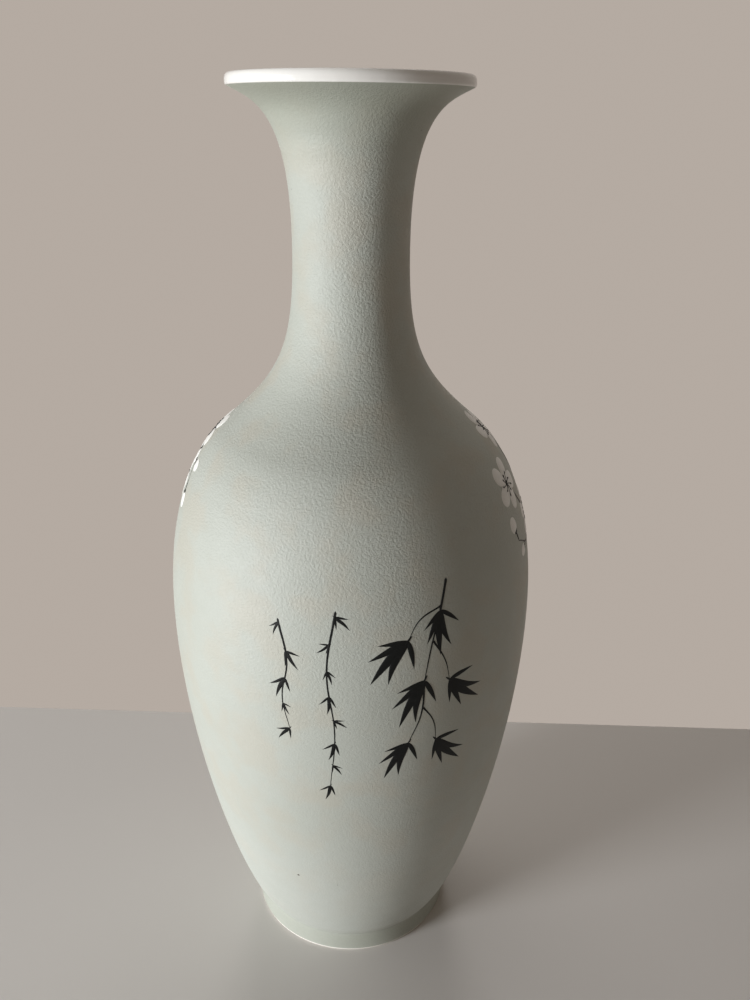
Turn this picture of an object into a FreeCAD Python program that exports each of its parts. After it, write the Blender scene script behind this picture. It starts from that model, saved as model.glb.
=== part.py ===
import FreeCAD, Part
import os

import Sketcher

# A tall baluster vase, thrown in sections that are luted together with slip and glazed.
# Millimetres and degrees. +Z is up, the vase is turned about Z, and it stands on z = 0.
#
# The outline is a chain of stops. A stop is a point of the glazed outside and the way the
# outline runs through it: its angle leans from straight up (0) outwards (90). Between two
# stops the outline is one cubic curve, and a "pull" is the length of the curve's handle at
# a stop. Every clay face and glaze face is this chain again, set in along its own normals.

SIZES = (
    # radii of the outline
    ("foot_radius", 57.0, "glazed skirt of the foot, at its lower edge"),
    ("spring_outset", 1.8, "how much wider than the waist the wall is where it springs"),
    ("belly_radius", 94.8, "widest part of the body"),
    ("shoulder_radius", 63.3, "end of the shoulder, where the neck is luted on"),
    ("neck_radius", 27.6, "narrowest part of the neck"),
    ("lip_radius", 54.4, "edge of the flared mouth, under the lip band"),
    ("lip_overhang", 0.6, "how far the lip band stands out past that edge"),
    ("lip_inset", 1.2, "how far inside that edge the lip is highest"),
    # heights, each above the stop before it
    ("bare_edge", 1.6, "bare clay between the table and the glaze"),
    ("waist_rise", 6.9, "glaze edge to the waist, where the foot ring is luted on"),
    ("spring_rise", 5.5, "waist to the spring of the wall"),
    ("belly_rise", 190.0, "spring to belly"),
    ("shoulder_rise", 98.3, "belly to the end of the shoulder"),
    ("neck_rise", 86.1, "end of the shoulder to the neck's narrowest part"),
    ("mouth_rise", 66.6, "neck's narrowest part to the lip band"),
    ("lip_edge_rise", 2.2, "lip band's lower edge to its widest part"),
    ("lip_rise", 5.0, "lip band's lower edge to the top of the lip"),
    # ways of the outline
    ("skirt_lean", 11.0, "inward lean of the skirt"),
    ("spring_angle", 36.4, "outward lean of the wall at the spring"),
    ("shoulder_angle", 49.3, "inward lean at the end of the shoulder"),
    ("mouth_angle", 62.0, "outward lean of the mouth under the lip band"),
    # fullness of each curve: a handle's length over the rise between its two stops
    ("spring_pull", 0.107, "lower body, above the spring"),
    ("heel_pull_above", 0.107, "inside of the lower body, above the heel"),
    ("belly_pull_below", 0.406, "lower body, below the belly"),
    ("belly_pull_above", 0.727, "upper body, above the belly"),
    ("shoulder_pull", 0.079, "upper body, below the end of the shoulder"),
    ("neck_foot_pull", 0.437, "neck, above the end of the shoulder"),
    ("throat_pull_below", 0.554, "neck, below its narrowest part"),
    ("throat_pull_above", 0.888, "mouth, above the neck's narrowest part"),
    ("mouth_pull", 0.180, "mouth, below the lip band"),
    ("round_pull", 0.42, "small rounded corners"),
    # clay walls
    ("heel_wall", 7.2, "at the heel, where the inside turns in to the floor"),
    ("belly_wall", 5.2, "at the belly"),
    ("shoulder_wall", 4.8, "at the end of the shoulder"),
    ("neck_wall", 4.0, "at the neck's narrowest part"),
    ("mouth_wall", 4.6, "under the lip"),
    ("lip_round", 1.5, "how far below the lip the inside is rounded"),
    ("floor_thickness", 9.0, "clay of the floor, on the axis"),
    ("heel_rise", 24.2, "spring to heel, on the outside"),
    ("heel_outset", 10.4, "how much wider than the spring the outside is there"),
    ("heel_angle", 18.3, "outward lean of the wall there"),
    ("heel_pull", 0.80, "handle below the heel, over the heel's rise"),
    ("floor_pull", 0.60, "handle on the axis, over the heel's radius"),
    # foot ring
    ("edge_round", 0.8, "how far the bare edges of the ring are worn in at the table"),
    ("ring_width", 6.6, "foot ring at its lower edge, worn edges included"),
    ("ring_lean", 16.0, "inward lean of the ring's inner face"),
    ("recess_depth", 11.5, "table to the underside of the base"),
    # joints and coats
    ("lute_thickness", 0.8, "slip between two sections"),
    ("seam_bevel", 3.0, "how much lower a seam is inside than outside"),
    ("glaze_thickness", 0.35, "every coat of glaze"),
)

doc = FreeCAD.newDocument("vase")
sheet = doc.addObject("Spreadsheet::Sheet", "sizes")
for row, (name, value, meaning) in enumerate(SIZES, start=1):
    sheet.set(f"A{row}", name)
    sheet.set(f"B{row}", repr(value))
    sheet.setAlias(f"B{row}", name)
    sheet.set(f"C{row}", meaning)
doc.recompute()


class Size:
    """A length or an angle that is worked out from the sheet's cells."""

    def __init__(self, text):
        self.text = str(text)

    def __add__(self, other):
        if other is ZERO:
            return self
        return Size(f"({self} + {other})")

    def __sub__(self, other):
        if other is ZERO:
            return self
        return Size(f"({self} - {other})")

    def __mul__(self, other):
        if self is ZERO or other is ZERO:
            return ZERO
        return Size(f"{self} * {other}")

    def __truediv__(self, other):
        if self is ZERO:
            return ZERO
        return Size(f"{self} / {other}")

    def __neg__(self):
        return self * -1

    def __str__(self):
        return self.text

    def sine(self):
        if self is ZERO:
            return ZERO
        return Size(f"sin({self})")

    def cosine(self):
        return Size(f"cos({self})")

    def tangent(self):
        return Size(f"tan({self})")

    def value(self):
        return float(sheet.evalExpression(self.text))


def size(name):
    return Size(f"sizes.{name}")


ZERO = Size(0)
LEVEL_OUT = Size(90)
LEVEL_IN = Size(-90)


class Stop:
    """A point of an outline and the way the outline runs through it."""

    def __init__(self, radius, height, angle):
        self.radius = radius
        self.height = height
        self.angle = angle

    def inward(self, depth):
        """The stop set in from the outline by a depth, along its normal."""
        radius = self.radius - depth * self.angle.cosine()
        height = self.height + depth * self.angle.sine()
        return Stop(radius, height, self.angle)

    def along(self, distance):
        """The stop moved on along its own way."""
        radius = self.radius + distance * self.angle.sine()
        height = self.height + distance * self.angle.cosine()
        return Stop(radius, height, self.angle)

    def point(self):
        return (self.radius, self.height)


def straight_wall(start, height, depth):
    """The stop at a height of the straight wall that rises from a stop, set in by a depth."""
    out = (height - start.height) * start.angle.tangent()
    radius = start.radius + out - depth / start.angle.cosine()
    return Stop(radius, height, start.angle)


def curve(first, first_pull, last_pull, last):
    """The four poles of the cubic curve from one stop to the next."""
    leave = first.along(first_pull)
    arrive = last.along(-last_pull)
    return [stop.point() for stop in (first, leave, arrive, last)]


def corner(stop):
    return [stop.point()]


def back(run):
    """The same run, drawn the other way."""
    return list(reversed(run))


def backwards(runs):
    """The same chain of runs, drawn the other way."""
    return [back(run) for run in reversed(runs)]


def turned(label, runs):
    """A body turned about Z from a closed outline, whose runs are joined by straight lines."""
    body = doc.addObject("PartDesign::Body", label)
    body.Label = label
    sketch = body.newObject("Sketcher::SketchObject", f"{label}_outline")
    front = next(f for f in body.Origin.OriginFeatures if f.Role == "XZ_Plane")
    sketch.AttachmentSupport = (front, [""])
    sketch.MapMode = "FlatFace"
    shared = [same(runs[index - 1][-1], run[0]) for index, run in enumerate(runs)]
    ends = [draw_run(sketch, run, touching) for run, touching in zip(runs, shared)]
    for index, touching in enumerate(shared):
        if touching:
            meet(sketch, ends[index - 1][1], ends[index][0])
        else:
            gap = (runs[index - 1][-1], runs[index][0])
            draw_line(sketch, gap, ends[index - 1][1], ends[index][0])
    turn = body.newObject("PartDesign::Revolution", f"{label}_turned")
    turn.Profile = sketch
    turn.ReferenceAxis = (sketch, ["V_Axis"])
    turn.Angle = 360
    body.Placement = FreeCAD.Placement()
    return body


def same(point, other):
    """Whether two points come from the same cells in the same way."""
    return [str(part) for part in point] == [str(part) for part in other]


def place_of(point):
    radius, height = point
    return FreeCAD.Vector(radius.value(), height.value(), 0)


def draw_run(sketch, run, touching):
    """Draws a curve of four poles, or a lone corner point, and returns its two ends.

    The first point is left free where it touches the run before, which holds it.
    """
    places = [place_of(point) for point in run]
    if len(run) == 1:
        lone = sketch.addGeometry(Part.Point(places[0]), True)
        pin(sketch, (lone, 1), run[0])
        return (lone, 1), (lone, 1)
    spline = Part.BSplineCurve(places, None, None, False, len(run) - 1, None, False)
    drawn = sketch.addGeometry(spline, False)
    for index, place in enumerate(places):
        pole = sketch.addGeometry(Part.Circle(place, FreeCAD.Vector(0, 0, 1), 1), True)
        alignment = "InternalAlignment:Sketcher::BSplineControlPoint"
        sketch.addConstraint(Sketcher.Constraint(alignment, pole, 3, drawn, index))
        if index == 0:
            first_pole = pole
            sketch.addConstraint(Sketcher.Constraint("Weight", pole, 1.0))
        else:
            sketch.addConstraint(Sketcher.Constraint("Equal", first_pole, pole))
        if index > 0 or not touching:
            pin(sketch, (pole, 3), run[index])
    return (drawn, 1), (drawn, 2)


def pin(sketch, vertex, point):
    """Holds one vertex at the radius and the height that the sheet gives."""
    place = place_of(point)
    holds = (("DistanceX", point[0], place.x, -2), ("DistanceY", point[1], place.y, -1))
    for kind, wanted, now, axis in holds:
        if wanted is ZERO:
            sketch.addConstraint(Sketcher.Constraint("PointOnObject", *vertex, axis))
        else:
            hold = Sketcher.Constraint(kind, -1, 1, *vertex, now)
            index = sketch.addConstraint(hold)
            sketch.setExpression(f"Constraints[{index}]", str(wanted))


def meet(sketch, vertex, other):
    sketch.addConstraint(Sketcher.Constraint("Coincident", *vertex, *other))


def draw_line(sketch, points, start, end):
    """Draws a straight line between the ends of two runs."""
    line = sketch.addGeometry(Part.LineSegment(*map(place_of, points)), False)
    meet(sketch, (line, 1), start)
    meet(sketch, (line, 2), end)


# Stops of the glazed outside, from the foot up.
skirt = Stop(size("foot_radius"), size("bare_edge"), -size("skirt_lean"))
waist_height = skirt.height + size("waist_rise")
spring = Stop(
    straight_wall(skirt, waist_height, ZERO).radius + size("spring_outset"),
    waist_height + size("spring_rise"),
    size("spring_angle"),
)
heel = Stop(
    spring.radius + size("heel_outset"),
    spring.height + size("heel_rise"),
    size("heel_angle"),
)
belly = Stop(size("belly_radius"), spring.height + size("belly_rise"), ZERO)
shoulder = Stop(
    size("shoulder_radius"),
    belly.height + size("shoulder_rise"),
    -size("shoulder_angle"),
)
throat = Stop(size("neck_radius"), shoulder.height + size("neck_rise"), ZERO)
mouth = Stop(
    size("lip_radius"), throat.height + size("mouth_rise"), size("mouth_angle")
)
lip_edge = Stop(
    mouth.radius + size("lip_overhang"), mouth.height + size("lip_edge_rise"), ZERO
)
lip_top = Stop(
    mouth.radius - size("lip_inset"), mouth.height + size("lip_rise"), LEVEL_IN
)

# Stops of the foot ring's bare clay and of the recess inside it.
ring_inside = Stop(
    size("foot_radius") - size("ring_width"), size("bare_edge"), -size("ring_lean")
)
land_outside = Stop(size("foot_radius") - size("edge_round"), ZERO, LEVEL_OUT)
land_inside = Stop(ring_inside.radius + size("edge_round"), ZERO, LEVEL_IN)

glaze = size("glaze_thickness")
bevel = size("seam_bevel")
half_lute = size("lute_thickness") * 0.5
foot_seam_low = waist_height - half_lute
foot_seam_high = waist_height + half_lute
recess_top = size("recess_depth")


def below(stop):
    """The lower side of the slip at a stop where two sections are luted."""
    return stop.along(-half_lute)


def above(stop):
    """The upper side of that slip."""
    return stop.along(half_lute)


def through(wall, coat):
    """How far in from the glazed outside the wall's inside is, under a coat of glaze."""
    return glaze + size(wall) + coat


def rounded(rise):
    return size(rise) * size("round_pull")


# Runs of the outside, each set in by a depth: none for the glaze, its thickness for the clay.


def waist_run(depth):
    pull = rounded("spring_rise")
    foot = straight_wall(skirt, foot_seam_high, depth)
    return curve(foot, pull, pull, spring.inward(depth))


def lower_run(depth):
    rise = size("belly_rise")
    return curve(
        spring.inward(depth),
        rise * size("spring_pull"),
        rise * size("belly_pull_below"),
        below(belly).inward(depth),
    )


def upper_run(belly_depth, shoulder_depth, drop):
    rise = size("shoulder_rise")
    return curve(
        above(belly).inward(belly_depth).along(-drop),
        rise * size("belly_pull_above"),
        rise * size("shoulder_pull"),
        below(shoulder).inward(shoulder_depth).along(-drop),
    )


def neck_run(shoulder_depth, throat_depth, drop):
    rise = size("neck_rise")
    return curve(
        above(shoulder).inward(shoulder_depth).along(-drop),
        rise * size("neck_foot_pull"),
        rise * size("throat_pull_below"),
        throat.inward(throat_depth),
    )


def mouth_run(throat_depth, mouth_depth, drop):
    rise = size("mouth_rise")
    return curve(
        throat.inward(throat_depth),
        rise * size("throat_pull_above"),
        rise * size("mouth_pull"),
        mouth.inward(mouth_depth).along(-drop),
    )


def lip_runs(depth, coat):
    """From under the lip band, over the top of the lip and in to the rounded inside."""
    low_pull = rounded("lip_edge_rise")
    high_pull = (size("lip_rise") - size("lip_edge_rise")) * size("round_pull")
    inside = mouth.inward(through("mouth_wall", coat)).along(-size("lip_round"))
    running_down = Stop(inside.radius, inside.height, inside.angle - 180)
    edge = lip_edge.inward(depth)
    top = lip_top.inward(depth)
    return [
        curve(mouth.inward(depth), low_pull, low_pull, edge),
        curve(edge, high_pull, high_pull, top),
        curve(top, high_pull, size("lip_round"), running_down),
    ]


# Runs of the inside, on the bare clay with no coat, or on the glaze with one.


def floor_run(coat):
    centre_height = size("recess_depth") + size("floor_thickness") + coat
    turn = heel.inward(through("heel_wall", coat))
    return curve(
        Stop(ZERO, centre_height, LEVEL_OUT),
        turn.radius * size("floor_pull"),
        size("heel_rise") * size("heel_pull"),
        turn,
    )


def inner_lower_run(coat):
    rise = size("belly_rise") - size("heel_rise")
    return curve(
        heel.inward(through("heel_wall", coat)),
        rise * size("heel_pull_above"),
        rise * size("belly_pull_below"),
        below(belly).inward(through("belly_wall", coat)).along(-bevel),
    )


def inner_upper_run(coat):
    return upper_run(
        through("belly_wall", coat), through("shoulder_wall", coat), bevel
    )


def inner_neck_run(coat):
    return neck_run(through("shoulder_wall", coat), through("neck_wall", coat), bevel)


def inner_mouth_run(coat):
    return mouth_run(
        through("neck_wall", coat), through("mouth_wall", coat), size("lip_round")
    )


# Sections of clay.


def foot_ring():
    """Skirt and foot: stands on a flat land of bare clay between two worn edges."""
    outer_edge = curve(
        land_outside,
        rounded("edge_round"),
        rounded("bare_edge"),
        straight_wall(skirt, skirt.height, glaze),
    )
    corners = [
        straight_wall(skirt, foot_seam_low, glaze),
        straight_wall(ring_inside, foot_seam_low, ZERO),
        ring_inside,
        land_inside,
    ]
    return turned("foot_ring", [outer_edge] + [corner(stop) for stop in corners])


def lower_body():
    """The bowl that carries the floor, from the foot seam up to the belly seam."""
    outside = [waist_run(glaze), lower_run(glaze)]
    inside = [back(inner_lower_run(ZERO)), back(floor_run(ZERO))]
    underside = [
        Stop(ZERO, recess_top, LEVEL_OUT),
        straight_wall(ring_inside, recess_top, ZERO),
        straight_wall(ring_inside, foot_seam_high, ZERO),
    ]
    corners = [corner(stop) for stop in underside]
    return turned("lower_body", outside + inside + corners)


def upper_body():
    """The shoulder, from the belly seam up to the neck seam."""
    outside = upper_run(glaze, glaze, ZERO)
    return turned("upper_body", [outside, back(inner_upper_run(ZERO))])


def neck():
    """The neck with its flared mouth and thickened lip."""
    outside = [neck_run(glaze, glaze, ZERO), mouth_run(glaze, glaze, ZERO)]
    inside = [back(inner_mouth_run(ZERO)), back(inner_neck_run(ZERO))]
    return turned("neck", outside + lip_runs(glaze, ZERO) + inside)


# Slip that lutes the sections together.


def foot_lute():
    corners = [
        straight_wall(skirt, foot_seam_low, glaze),
        straight_wall(skirt, foot_seam_high, glaze),
        straight_wall(ring_inside, foot_seam_high, ZERO),
        straight_wall(ring_inside, foot_seam_low, ZERO),
    ]
    return turned("foot_lute", [corner(stop) for stop in corners])


def wall_lute(label, stop, wall):
    """A bevelled ring of slip through the wall at a stop."""
    inner_depth = through(wall, ZERO)
    corners = [
        below(stop).inward(glaze),
        above(stop).inward(glaze),
        above(stop).inward(inner_depth).along(-bevel),
        below(stop).inward(inner_depth).along(-bevel),
    ]
    return turned(label, [corner(place) for place in corners])


# Coats of glaze.


def celadon_glaze():
    """The coloured outside, from the bare edge of the foot up to the lip band."""

    def face(depth):
        return [
            corner(straight_wall(skirt, skirt.height, depth)),
            waist_run(depth),
            lower_run(depth),
            upper_run(depth, depth, ZERO),
            neck_run(depth, depth, ZERO),
            mouth_run(depth, depth, ZERO),
        ]

    return turned("celadon_glaze", face(ZERO) + backwards(face(glaze)))


def lining_glaze():
    """The clear coat from the floor up the inside and over the lip as its white band."""

    def face(depth, coat):
        inside = [
            floor_run(coat),
            inner_lower_run(coat),
            inner_upper_run(coat),
            inner_neck_run(coat),
            inner_mouth_run(coat),
        ]
        return inside + backwards(lip_runs(depth, coat))

    return turned("lining_glaze", face(glaze, ZERO) + backwards(face(ZERO, glaze)))


def base_glaze():
    """The glaze under the base and down the inside of the foot ring."""
    corners = [
        ring_inside,
        straight_wall(ring_inside, recess_top, ZERO),
        Stop(ZERO, recess_top, LEVEL_IN),
        Stop(ZERO, recess_top - glaze, LEVEL_IN),
        straight_wall(ring_inside, recess_top - glaze, glaze),
        straight_wall(ring_inside, ring_inside.height, glaze),
    ]
    return turned("base_glaze", [corner(stop) for stop in corners])


pieces = [
    foot_ring(),
    lower_body(),
    upper_body(),
    neck(),
    foot_lute(),
    wall_lute("belly_lute", belly, "belly_wall"),
    wall_lute("neck_lute", shoulder, "shoulder_wall"),
    celadon_glaze(),
    lining_glaze(),
    base_glaze(),
]
doc.recompute()

for item in doc.Objects:
    if "Invalid" in item.State or "Error" in item.State:
        raise RuntimeError(f"{item.Name} failed: {item.State}")
for piece in pieces:
    if piece.Shape.isNull() or not piece.Shape.isValid():
        raise RuntimeError(f"{piece.Label} has no valid shape")
    if len(piece.Shape.Solids) != 1:
        raise RuntimeError(f"{piece.Label} is not one solid")

os.makedirs("parts", exist_ok=True)
for piece in pieces:
    piece.Shape.exportStep(f"parts/{piece.Label}.step")
    print(piece.Label, round(piece.Shape.Volume / 1000, 2), "cm3")
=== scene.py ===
"""A tall celadon vase: its glazes, its bare foot, its brushed sprigs and its raised blossoms.

Lengths are metres and +Z is up. The vase stands on z = 0 and its front faces -Y. Azimuths are
measured round it from the front, towards +X, and places on the wall by their way up it.
"""

import math
import random
from collections import namedtuple

import bmesh
import bpy
from mathutils import Matrix, Vector
from mathutils.geometry import interpolate_bezier


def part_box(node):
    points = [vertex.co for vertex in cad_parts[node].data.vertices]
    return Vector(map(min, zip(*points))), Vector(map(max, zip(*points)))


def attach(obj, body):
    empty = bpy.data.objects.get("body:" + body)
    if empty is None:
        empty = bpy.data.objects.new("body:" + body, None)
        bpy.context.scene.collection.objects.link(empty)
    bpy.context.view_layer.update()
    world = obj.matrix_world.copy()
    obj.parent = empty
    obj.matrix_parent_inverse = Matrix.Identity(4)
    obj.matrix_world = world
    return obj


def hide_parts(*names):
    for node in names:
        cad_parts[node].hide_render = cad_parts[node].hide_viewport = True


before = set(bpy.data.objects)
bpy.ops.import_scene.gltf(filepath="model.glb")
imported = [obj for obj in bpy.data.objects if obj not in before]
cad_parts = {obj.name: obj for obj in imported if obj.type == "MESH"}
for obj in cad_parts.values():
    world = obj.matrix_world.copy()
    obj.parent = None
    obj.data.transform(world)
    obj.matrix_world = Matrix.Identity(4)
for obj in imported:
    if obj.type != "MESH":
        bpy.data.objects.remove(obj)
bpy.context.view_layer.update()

bl_info = {
    "name": "Celadon baluster vase",
    "version": (1, 0, 0),
    "blender": (4, 5, 0),
    "location": "View3D > Sidebar > Vase",
    "description": "Glazes and paints a tall porcelain vase round its packed frame",
    "category": "Object",
}

# Nearer than this, two points are one; sharper than this, an edge stays sharp.
TOUCH = 1e-7
SHARP_ANGLE = math.radians(50)


def low(node):
    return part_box(node)[0]


def high(node):
    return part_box(node)[1]


# Kinds of property.


def length(name, default, description):
    return bpy.props.FloatProperty(
        name=name, description=description, default=default, unit="LENGTH", precision=5
    )


def angle(name, degrees, description):
    return bpy.props.FloatProperty(
        name=name,
        description=description,
        default=math.radians(degrees),
        subtype="ANGLE",
        unit="ROTATION",
    )


def share(name, default, description):
    return bpy.props.FloatProperty(
        name=name, description=description, default=default, subtype="FACTOR"
    )


def amount(name, default, description):
    return bpy.props.FloatProperty(name=name, description=description, default=default)


def count(name, default, description):
    return bpy.props.IntProperty(name=name, description=description, default=default, min=3)


def colour(name, default, description):
    return bpy.props.FloatVectorProperty(
        name=name, description=description, default=default, subtype="COLOR", size=3
    )


class VaseOutline(bpy.types.PropertyGroup):
    """The glazed outside, as stops from the foot up."""

    foot_radius: length("Foot radius", 0.057, "Glazed skirt at its lower edge")
    skirt_lean: angle("Skirt lean", 11.0, "Inward lean of the skirt")
    waist_height: length(
        "Waist height",
        (low("foot_lute").z + high("foot_lute").z) / 2,
        "Where the foot ring is luted on",
    )
    spring_outset: length("Spring outset", 0.0018, "Spring beyond the waist")
    spring_rise: length("Spring rise", 0.0055, "Waist to the spring of the wall")
    spring_angle: angle("Spring angle", 36.4, "Outward lean of the wall there")
    belly_radius: length("Belly radius", high("celadon_glaze").x, "Widest part")
    belly_rise: length("Belly rise", 0.190, "Spring to belly")
    shoulder_radius: length("Shoulder radius", 0.0633, "End of the shoulder")
    shoulder_rise: length("Shoulder rise", 0.0983, "Belly to the shoulder's end")
    shoulder_angle: angle("Shoulder angle", 49.3, "Inward lean at the shoulder's end")
    neck_radius: length("Neck radius", 0.0276, "Narrowest part of the neck")
    neck_rise: length("Neck rise", 0.0861, "Shoulder's end to there")
    mouth_rise: length("Mouth rise", 0.0666, "Neck's narrowest part to the lip band")
    mouth_angle: angle("Mouth angle", 62.0, "Outward lean of the mouth")
    lip_radius: length("Lip radius", 0.0544, "Mouth's outer edge, under the lip band")
    lip_overhang: length("Lip overhang", 0.0006, "Lip band beyond the mouth's edge")
    lip_inset: length("Lip inset", 0.0012, "Top of the lip inside the mouth's edge")
    lip_edge_rise: length("Lip edge rise", 0.0022, "Lip band up to its widest part")
    lip_rise: length("Lip rise", 0.0050, "Lip band up to its top")
    spring_pull: share("Spring pull", 0.107, "Fullness above the spring")
    belly_pull_below: share("Belly pull below", 0.406, "Fullness below the belly")
    belly_pull_above: share("Belly pull above", 0.727, "Fullness above the belly")
    shoulder_pull: share("Shoulder pull", 0.079, "Fullness at the shoulder's end")
    neck_foot_pull: share("Neck foot pull", 0.437, "Fullness at the foot of the neck")
    throat_pull_below: share("Throat pull below", 0.554, "Fullness below the throat")
    throat_pull_above: share("Throat pull above", 0.888, "Fullness above the throat")
    mouth_pull: share("Mouth pull", 0.180, "Fullness below the lip band")
    round_pull: share("Round pull", 0.42, "Fullness of small rounded corners")


class VaseWalls(bpy.types.PropertyGroup):
    """Clay and glaze, and the foot ring."""

    glaze: length("Glaze", 0.00035, "Thickness of every coat")
    heel: length("Heel wall", 0.0072, "Where the inside turns in to the floor")
    belly: length("Belly wall", 0.0052, "At the belly")
    shoulder: length("Shoulder wall", 0.0048, "At the end of the shoulder")
    neck: length("Neck wall", 0.0040, "At the neck's narrowest part")
    mouth: length("Mouth wall", 0.0046, "Under the lip")
    lip_round: length("Lip round", 0.0015, "How far below the lip it is rounded")
    floor_top: length("Floor", 0.0205, "Table to the clay of the floor, on the axis")
    heel_rise: length("Heel rise", 0.0242, "Spring to heel, on the outside")
    heel_outset: length("Heel outset", 0.0104, "Heel beyond the spring")
    heel_angle: angle("Heel angle", 18.3, "Outward lean of the wall there")
    heel_pull: share("Heel pull", 0.80, "Fullness below the heel")
    floor_pull: share("Floor pull", 0.60, "Fullness on the axis")
    heel_pull_above: share("Heel pull above", 0.107, "Fullness above the heel")
    seam_bevel: length("Seam bevel", 0.0030, "How much lower a seam is inside")
    half_lute: length("Half lute", 0.0004, "Half the slip between two sections")
    edge_round: length("Edge round", 0.0008, "Wear of the ring's edges")
    ring_width: length("Ring width", 0.0066, "Foot ring at its lower edge")
    ring_lean: angle("Ring lean", 16.0, "Inward lean of the ring's inner face")
    recess: length("Recess", 0.0115, "Table to the underside of the base")
    segments: count("Segments", 208, "Facets round the vase")
    smoothness: count("Smoothness", 26, "Facets along each curve of an outline")


class VaseGlazes(bpy.types.PropertyGroup):
    """Colours, gloss and relief of the finishes."""

    celadon: colour("Celadon", (0.505, 0.527, 0.485), "Glaze where it is thin")
    celadon_warm: colour("Warm celadon", (0.520, 0.500, 0.435), "Where it is oxidised")
    # Deep celadon is the glaze's own darker tone where its clouds run deep. It is also the colour
    # of the painted shade above the foot, under the lip band and in the dimples.
    celadon_deep: colour("Deep celadon", (0.350, 0.365, 0.305), "Where it pools")
    # Thin celadon is painted light: the paler colour of the lower wall, as if lit from the table
    # below.
    celadon_thin: colour("Thin celadon", (0.590, 0.615, 0.580), "Where it ran thin, low down")
    peel_pitch: length("Peel pitch", 0.00062, "Size of the glaze's dimples")
    peel_depth: length("Peel depth", 0.00028, "Depth of the glaze's dimples")
    white: colour("White glaze", (0.88, 0.87, 0.845), "Clear glaze over porcelain")
    clay: colour("Bare porcelain", (0.86, 0.84, 0.79), "Unglazed foot")
    ink: colour("Ink", (0.004, 0.005, 0.005), "Black enamel")
    bark: colour("Bark", (0.030, 0.024, 0.019), "Dark enamel of the twigs")
    petal: colour("Petal", (0.92, 0.915, 0.88), "Raised white enamel")
    iron: colour("Iron", (0.050, 0.036, 0.022), "Specks of iron that came up in the glaze")


class VaseBrush(bpy.types.PropertyGroup):
    """Leaves, petals and the relief of the enamel."""

    sink: length("Sink", 0.00012, "How far the enamel is fused into the glaze")
    ink_relief: length("Ink relief", 0.00014, "Height of a black stroke")
    leaf_length: length("Leaf length", 0.0165, "Longest leaf of a fan")
    leaf_slimness: share("Leaf slimness", 0.175, "Width of a leaf over its length")
    petal_length: length("Petal length", 0.0125, "From the heart of a flower out")
    petal_relief: length("Petal relief", 0.00040, "Height of the white enamel")


class VaseStage(bpy.types.PropertyGroup):
    """Camera, lamps and floor."""

    eye_distance: length("Eye distance", 0.43444, "Camera in front of the axis")
    eye_height: length("Eye height", 0.44181, "Camera above the table")
    eye_fall: angle("Eye fall", 22.913, "How far the camera looks down")
    eye_turn: angle("Eye turn", 1.625, "How far the camera looks to the right")
    eye_roll: angle("Eye roll", 0.570, "Turn of the camera about its own line")
    lens: amount("Lens", 32.4, "Focal length in millimetres on a 36 mm sensor")
    key_azimuth: angle("Key azimuth", -61.0, "Window side")
    key_height: length("Key height", 0.26, "Middle of the key lamp")
    key_distance: length("Key distance", 1.60, "Key lamp from the axis")
    key_size: length("Key size", 0.46, "Side of the key lamp")
    key_power: amount("Key power", 33.0, "Watts of the key lamp")
    fill_power: amount("Fill power", 0.9, "Watts of the fill lamp")
    back_power: amount("Back power", 8.0, "Watts of the low lamp behind")
    top_power: amount("Top power", 3.5, "Watts of the lamp above")
    room: colour("Room light", (0.096, 0.077, 0.060), "Light from all round")
    backdrop: colour("Backdrop", (0.46, 0.405, 0.36), "Pale wall all round")
    floor: colour("Floor", (0.70, 0.675, 0.65), "Pale table")
    table_turn: angle("Table turn", -3.5, "Turn of the table about the vase")
    table_far: length("Table behind", 0.165, "Axis to the far edge of the table")
    table_left: length("Table to the left", 0.42, "Axis to the left edge of the table")
    table_reach: length("Table reach", 1.6, "Axis to the table's other edges")
    table_thickness: length("Table thickness", 0.022, "Table top")


GROUPS = {
    "vase_outline": VaseOutline,
    "vase_walls": VaseWalls,
    "vase_glazes": VaseGlazes,
    "vase_brush": VaseBrush,
    "vase_stage": VaseStage,
}


# Node trees.


class Signal:
    """A socket's value. Arithmetic on it adds the Math nodes that work it out."""

    def __init__(self, graph, socket):
        self.graph = graph
        self.socket = socket

    def other(self, name):
        """Another output of the same node."""
        return Signal(self.graph, self.socket.node.outputs[name])

    def parts(self):
        """The x, y and z of a vector."""
        split = self.graph.add("ShaderNodeSeparateXYZ", {}, {0: self})
        return split, split.other(1), split.other(2)

    def __add__(self, value):
        return self.graph.maths("ADD", self, value)

    def __sub__(self, value):
        return self.graph.maths("SUBTRACT", self, value)

    def __rsub__(self, value):
        return self.graph.maths("SUBTRACT", value, self)

    def __mul__(self, value):
        return self.graph.maths("MULTIPLY", self, value)

    def __truediv__(self, value):
        return self.graph.maths("DIVIDE", self, value)

    def __mod__(self, value):
        return self.graph.maths("FLOORED_MODULO", self, value)

    __radd__ = __add__
    __rmul__ = __mul__


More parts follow.
